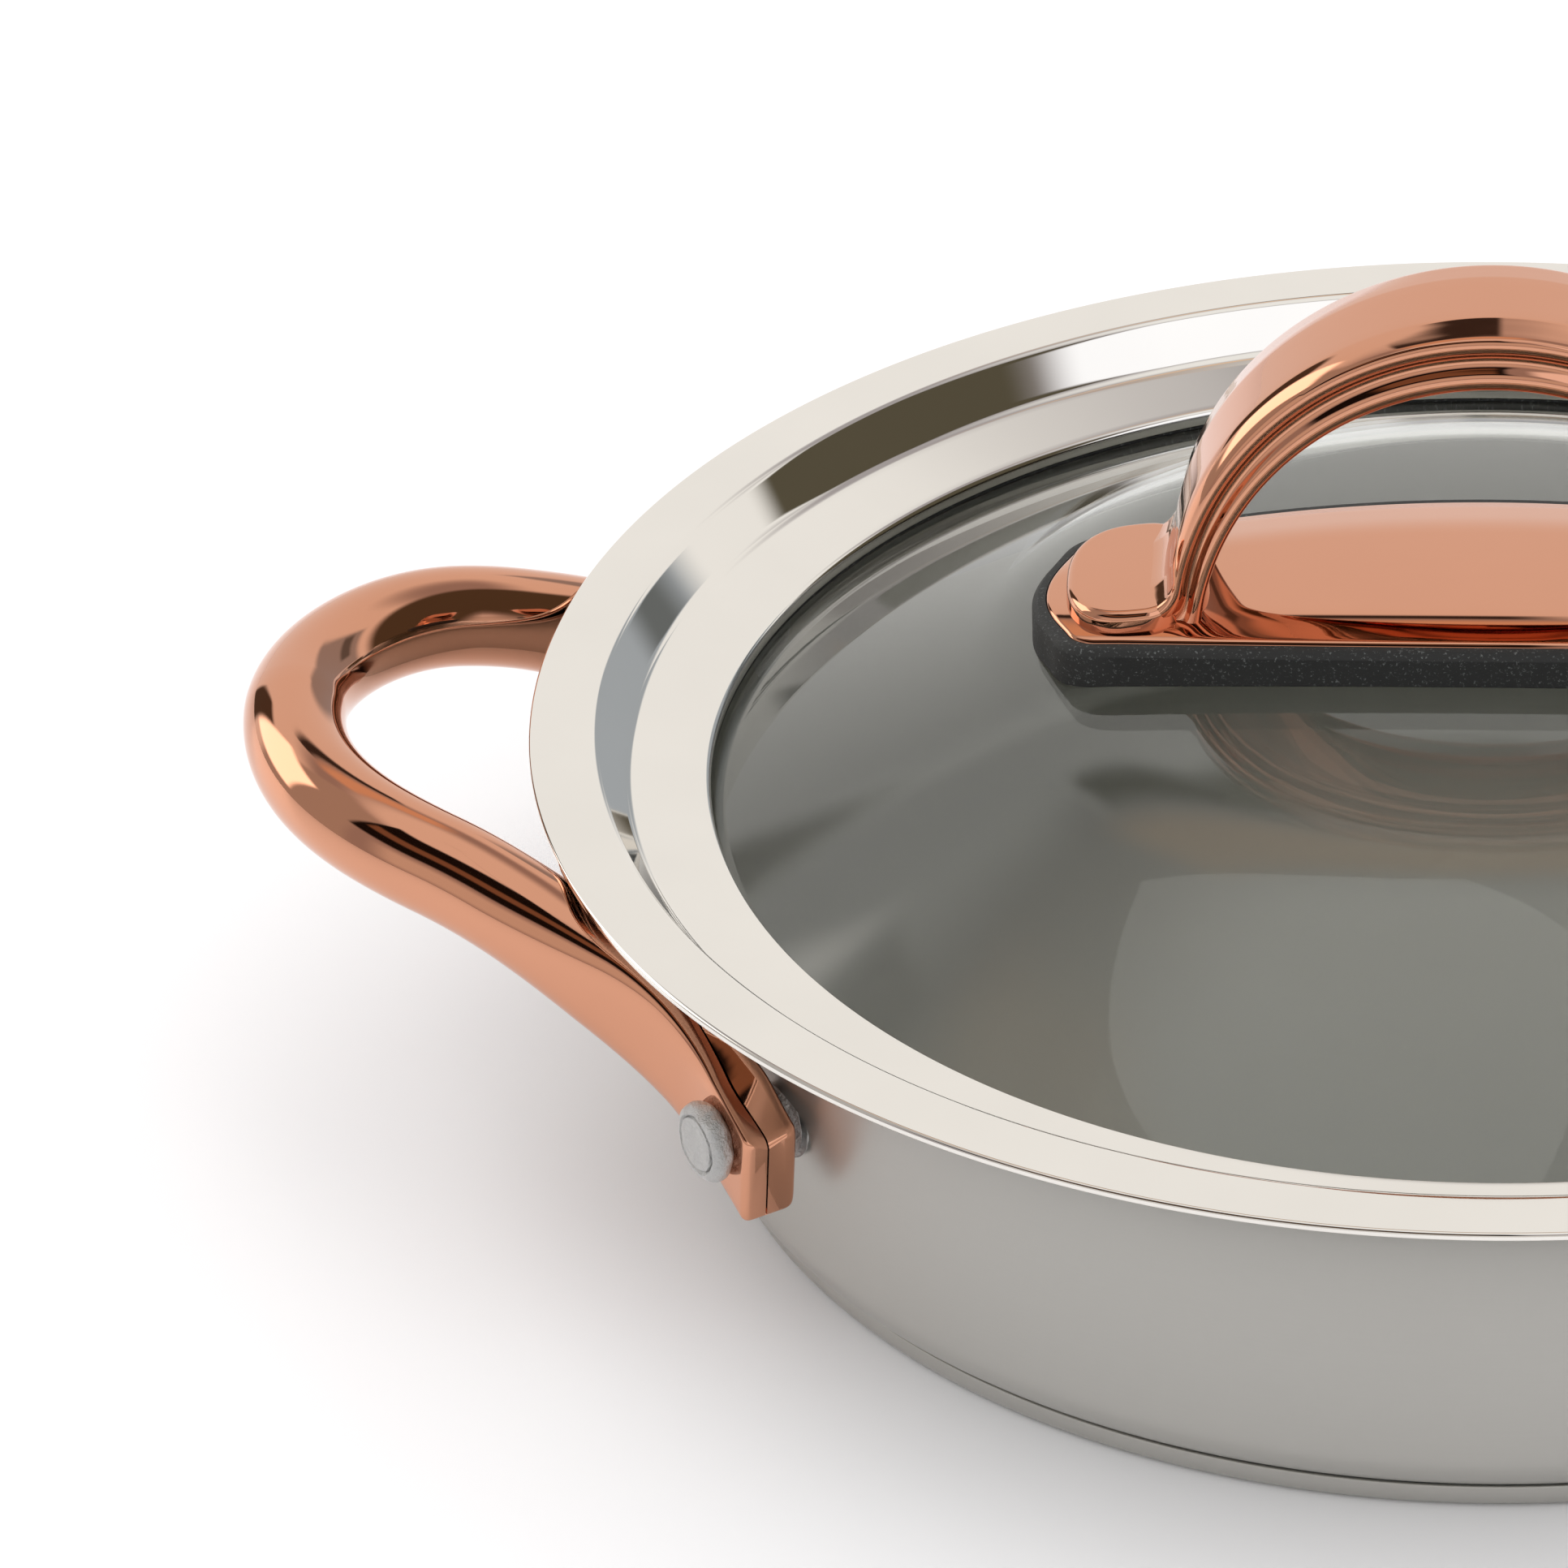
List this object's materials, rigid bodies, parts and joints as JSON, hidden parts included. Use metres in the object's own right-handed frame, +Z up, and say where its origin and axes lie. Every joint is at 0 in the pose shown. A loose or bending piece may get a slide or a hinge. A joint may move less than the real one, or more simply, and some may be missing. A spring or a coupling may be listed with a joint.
{
  "type": "saucepan with glass lid",
  "caption": "Low round saucepan with two copper-coloured loop handles and a domed glass lid in a wide mirror rim with a copper-coloured arch grip.",
  "frame": {"origin": "centre of the base's underside, on the pan's axis", "axes": "+Z up along the pan's axis, +X towards the right-hand side handle, -Y towards the user"},
  "size_m": [0.3372, 0.26, 0.1199],
  "materials": {
    "satin_steel": "satin stainless sheet with a faint round grain",
    "core_aluminium": "bare disc, closed in",
    "copper_finish": "polished rose-copper plating",
    "rivet_aluminium": "bead-blasted, faintly hammered",
    "mirror_steel": "mirror-polished stainless sheet",
    "dome_glass": "clear tempered glass with a smoky green tint",
    "black_silicone": "matt moulded silicone",
    "screw_steel": "plain machined stainless"
  },
  "bodies": {
    "pan": {"base_cap": "satin_steel", "base_core": "core_aluminium", "pan_body": "satin_steel", "left_handle_outer_shell": "copper_finish", "left_handle_inner_shell": "copper_finish", "right_handle_outer_shell": "copper_finish", "right_handle_inner_shell": "copper_finish", "left_front_rivet": "rivet_aluminium", "left_rear_rivet": "rivet_aluminium", "right_front_rivet": "rivet_aluminium", "right_rear_rivet": "rivet_aluminium", "left_front_spacer": "rivet_aluminium", "left_rear_spacer": "rivet_aluminium", "right_front_spacer": "rivet_aluminium", "right_rear_spacer": "rivet_aluminium"},
    "lid": {"lid_rim": "mirror_steel", "lid_clamp_ring": "mirror_steel", "glass_seal": "black_silicone", "lid_glass": "dome_glass", "lid_gasket": "black_silicone", "lid_handle_plate": "copper_finish", "lid_handle": "copper_finish", "left_lid_screw": "screw_steel", "right_lid_screw": "screw_steel", "left_lid_grommet": "black_silicone", "right_lid_grommet": "black_silicone", "left_cup_washer": "screw_steel", "right_cup_washer": "screw_steel"}
  },
  "joints": [
    {"name": "lid_lift", "type": "slide", "parent": "pan", "child": "lid", "axis": [0, 0, 1], "range_m": [0, 0.15]}
  ]
}
